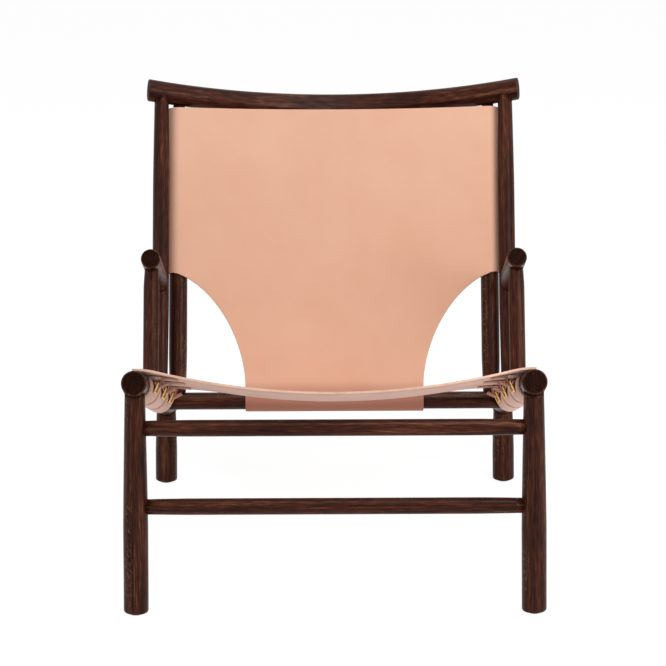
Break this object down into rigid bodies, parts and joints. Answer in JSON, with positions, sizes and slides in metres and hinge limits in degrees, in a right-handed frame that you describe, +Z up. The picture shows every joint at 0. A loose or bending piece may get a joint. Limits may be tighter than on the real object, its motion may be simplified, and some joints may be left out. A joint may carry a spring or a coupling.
{
  "type": "lounge chair",
  "caption": "Low sling lounge chair: turned dark oak frame, sloping seat rails, bowed crest rail, tan leather seat buckled under the rails and a leather back with a tongue round the cross rail.",
  "frame": {"origin": "on the floor, under the middle of the chair's box", "axes": "+X to the viewer's right when facing the chair, +Y to its back, +Z up"},
  "size_m": [0.6818, 0.841, 0.7474],
  "materials": {
    "oak": "smoked oak, turned, oiled",
    "hide": "vegetable-tanned saddle leather, grain side out",
    "flesh": "saddle leather, flesh side out",
    "brass": "polished cast brass",
    "glide": "moulded nylon"
  },
  "bodies": {
    "chair": {"seat_rail_left": "oak", "front_leg_left": "oak", "glide_front_left": "glide", "rear_leg_left": "oak", "glide_rear_left": "glide", "seat_rail_right": "oak", "front_leg_right": "oak", "glide_front_right": "glide", "rear_leg_right": "oak", "glide_rear_right": "glide", "front_stretcher_upper": "oak", "front_stretcher_lower": "oak", "rear_cross_rail": "oak", "crest_rail": "oak", "back_post_left": "oak", "arm_left": "oak", "arm_post_left": "oak", "sling_upright_left": "oak", "back_post_right": "oak", "arm_right": "oak", "arm_post_right": "oak", "sling_upright_right": "oak", "seat_sling": "hide", "buckle_left_1": "brass", "chape_left_1": "flesh", "buckle_left_2": "brass", "chape_left_2": "flesh", "buckle_left_3": "brass", "chape_left_3": "flesh", "buckle_right_1": "brass", "chape_right_1": "flesh", "buckle_right_2": "brass", "chape_right_2": "flesh", "buckle_right_3": "brass", "chape_right_3": "flesh", "back_sling": "hide"},
    "prong_left_1": {"prong_left_1": "brass"},
    "prong_left_2": {"prong_left_2": "brass"},
    "prong_left_3": {"prong_left_3": "brass"},
    "prong_right_1": {"prong_right_1": "brass"},
    "prong_right_2": {"prong_right_2": "brass"},
    "prong_right_3": {"prong_right_3": "brass"}
  },
  "joints": [
    {"name": "prong_left_1_hinge", "type": "hinge", "parent": "chair", "child": "prong_left_1", "pos_m": [-0.28137, -0.28676, 0.35337], "axis": [0, -0.9426, 0.3338], "range_deg": [0, 45]},
    {"name": "prong_left_2_hinge", "type": "hinge", "parent": "chair", "child": "prong_left_2", "pos_m": [-0.28137, -0.12651, 0.29662], "axis": [0, -0.9426, 0.3338], "range_deg": [0, 45]},
    {"name": "prong_left_3_hinge", "type": "hinge", "parent": "chair", "child": "prong_left_3", "pos_m": [-0.28137, 0.03374, 0.23987], "axis": [0, -0.9426, 0.3338], "range_deg": [0, 45]},
    {"name": "prong_right_1_hinge", "type": "hinge", "parent": "chair", "child": "prong_right_1", "pos_m": [0.28137, -0.28676, 0.35337], "axis": [0, 0.9426, -0.3338], "range_deg": [0, 45]},
    {"name": "prong_right_2_hinge", "type": "hinge", "parent": "chair", "child": "prong_right_2", "pos_m": [0.28137, -0.12651, 0.29662], "axis": [0, 0.9426, -0.3338], "range_deg": [0, 45]},
    {"name": "prong_right_3_hinge", "type": "hinge", "parent": "chair", "child": "prong_right_3", "pos_m": [0.28137, 0.03374, 0.23987], "axis": [0, 0.9426, -0.3338], "range_deg": [0, 45]}
  ]
}
